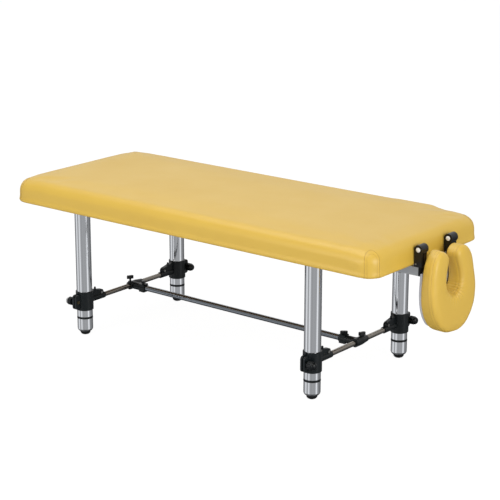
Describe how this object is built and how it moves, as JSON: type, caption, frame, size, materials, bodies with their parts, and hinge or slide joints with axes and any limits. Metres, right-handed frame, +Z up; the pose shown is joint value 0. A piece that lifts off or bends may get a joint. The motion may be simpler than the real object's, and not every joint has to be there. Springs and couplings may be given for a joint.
{
  "type": "massage bed",
  "caption": "Massage bed with a padded vinyl top, chromed tube legs joined by a clamped H stretcher, levelling feet and a horseshoe face cradle that folds down at the head end.",
  "frame": {"origin": "on the floor under the middle of the whole outline, face cradle included", "axes": "+X along the bed towards the head end and the face cradle, +Y from the near long side to the far long side, +Z up"},
  "size_m": [1.8072, 0.7, 0.6],
  "materials": {
    "upholstery": "yellow soft vinyl over foam, fine grain, low sheen",
    "plywood": "bare birch plywood",
    "batten_wood": "planed softwood",
    "cradle_board": "light grey moulded board, satin",
    "chrome": "chromed steel tube, bright",
    "steel_bar": "drawn steel, slightly warm grey",
    "zinc_steel": "zinc plated",
    "bracket_steel": "silver paint on square tube",
    "black_rubber": "matte black rubber",
    "black_plastic": "satin black moulded plastic",
    "knob_plastic": "satin black moulded plastic",
    "black_metal": "black powder coat",
    "silver_plastic": "silver plated plastic",
    "white_plastic": "white moulded cap",
    "brass": "turned brass",
    "screw_steel": "zinc plated"
  },
  "bodies": {
    "frame": {"arm_rivets": "screw_steel", "base_board": "plywood", "battens": "batten_wood", "bracket_bolts": "zinc_steel", "bracket_end_caps": "black_rubber", "collar_foot_far": "black_plastic", "collar_foot_near": "black_plastic", "collar_head_far": "black_plastic", "collar_head_near": "black_plastic", "collar_nuts": "brass", "cradle_bracket_far": "bracket_steel", "cradle_bracket_near": "bracket_steel", "cross_bar_foot": "steel_bar", "cross_bar_head": "steel_bar", "fixed_arm_far": "black_metal", "fixed_arm_near": "black_metal", "flange_screws": "screw_steel", "hinge_pins": "screw_steel", "leg_flange_foot_far": "zinc_steel", "leg_flange_foot_near": "zinc_steel", "leg_flange_head_far": "zinc_steel", "leg_flange_head_near": "zinc_steel", "leg_plug_foot_far": "black_plastic", "leg_plug_foot_near": "black_plastic", "leg_plug_head_far": "black_plastic", "leg_plug_head_near": "black_plastic", "leg_tube_foot_far": "chrome", "leg_tube_foot_near": "chrome", "leg_tube_head_far": "chrome", "leg_tube_head_near": "chrome", "long_bar": "chrome", "mattress": "upholstery", "pin_caps": "white_plastic", "socket_bolts": "screw_steel", "t_clamp_foot": "black_plastic", "t_clamp_head": "black_plastic"},
    "cradle": {"cradle_board": "cradle_board", "cradle_cushion": "upholstery", "cradle_screws": "screw_steel", "moving_arm_near": "black_metal", "moving_arm_far": "black_metal"},
    "level_foot_foot_near": {"foot_sleeve_foot_near": "chrome", "rubber_foot_foot_near": "black_rubber"},
    "clamp_knob_foot_near": {"collar_knob_foot_near": "knob_plastic", "knob_cap_foot_near": "silver_plastic"},
    "level_foot_foot_far": {"foot_sleeve_foot_far": "chrome", "rubber_foot_foot_far": "black_rubber"},
    "clamp_knob_foot_far": {"collar_knob_foot_far": "knob_plastic"},
    "level_foot_head_near": {"foot_sleeve_head_near": "chrome", "rubber_foot_head_near": "black_rubber"},
    "clamp_knob_head_near": {"collar_knob_head_near": "knob_plastic"},
    "level_foot_head_far": {"foot_sleeve_head_far": "chrome", "rubber_foot_head_far": "black_rubber"},
    "clamp_knob_head_far": {"collar_knob_head_far": "knob_plastic"},
    "sleeve_screw_foot": {"sleeve_knob_foot": "knob_plastic"},
    "socket_screw_foot": {"socket_knob_foot": "knob_plastic"},
    "sleeve_screw_head": {"sleeve_knob_head": "knob_plastic"},
    "socket_screw_head": {"socket_knob_head": "knob_plastic"}
  },
  "joints": [
    {"name": "cradle_fold", "type": "hinge", "parent": "frame", "child": "cradle", "pos_m": [0.81335, 0, 0.56], "axis": [0, -1, 0], "range_deg": [0, 105]},
    {"name": "level_foot_near", "type": "slide", "parent": "frame", "child": "level_foot_foot_near", "axis": [0, 0, -1], "range_m": [0, 0.012]},
    {"name": "level_foot_far", "type": "slide", "parent": "frame", "child": "level_foot_foot_far", "axis": [0, 0, -1], "range_m": [0, 0.012]},
    {"name": "level_head_near", "type": "slide", "parent": "frame", "child": "level_foot_head_near", "axis": [0, 0, -1], "range_m": [0, 0.012]},
    {"name": "level_head_far", "type": "slide", "parent": "frame", "child": "level_foot_head_far", "axis": [0, 0, -1], "range_m": [0, 0.012]},
    {"name": "turn_clamp_foot_near", "type": "hinge", "parent": "frame", "child": "clamp_knob_foot_near", "pos_m": [-0.60365, -0.318, 0.1395], "axis": [1, 0, 0], "continuous": true},
    {"name": "turn_clamp_foot_far", "type": "hinge", "parent": "frame", "child": "clamp_knob_foot_far", "pos_m": [-0.60365, 0.318, 0.1395], "axis": [1, 0, 0], "continuous": true},
    {"name": "turn_clamp_head_near", "type": "hinge", "parent": "frame", "child": "clamp_knob_head_near", "pos_m": [0.49635, -0.318, 0.1395], "axis": [1, 0, 0], "continuous": true},
    {"name": "turn_clamp_head_far", "type": "hinge", "parent": "frame", "child": "clamp_knob_head_far", "pos_m": [0.49635, 0.318, 0.1395], "axis": [1, 0, 0], "continuous": true},
    {"name": "turn_sleeve_screw_foot", "type": "hinge", "parent": "frame", "child": "sleeve_screw_foot", "pos_m": [-0.60365, -0.012, 0.134], "axis": [0, 0, 1], "continuous": true},
    {"name": "turn_socket_screw_foot", "type": "hinge", "parent": "frame", "child": "socket_screw_foot", "pos_m": [-0.54365, 0, 0.134], "axis": [0, 0, 1], "continuous": true},
    {"name": "turn_sleeve_screw_head", "type": "hinge", "parent": "frame", "child": "sleeve_screw_head", "pos_m": [0.49635, 0.028, 0.134], "axis": [0, 0, 1], "continuous": true},
    {"name": "turn_socket_screw_head", "type": "hinge", "parent": "frame", "child": "socket_screw_head", "pos_m": [0.43635, 0, 0.134], "axis": [0, 0, 1], "continuous": true}
  ]
}
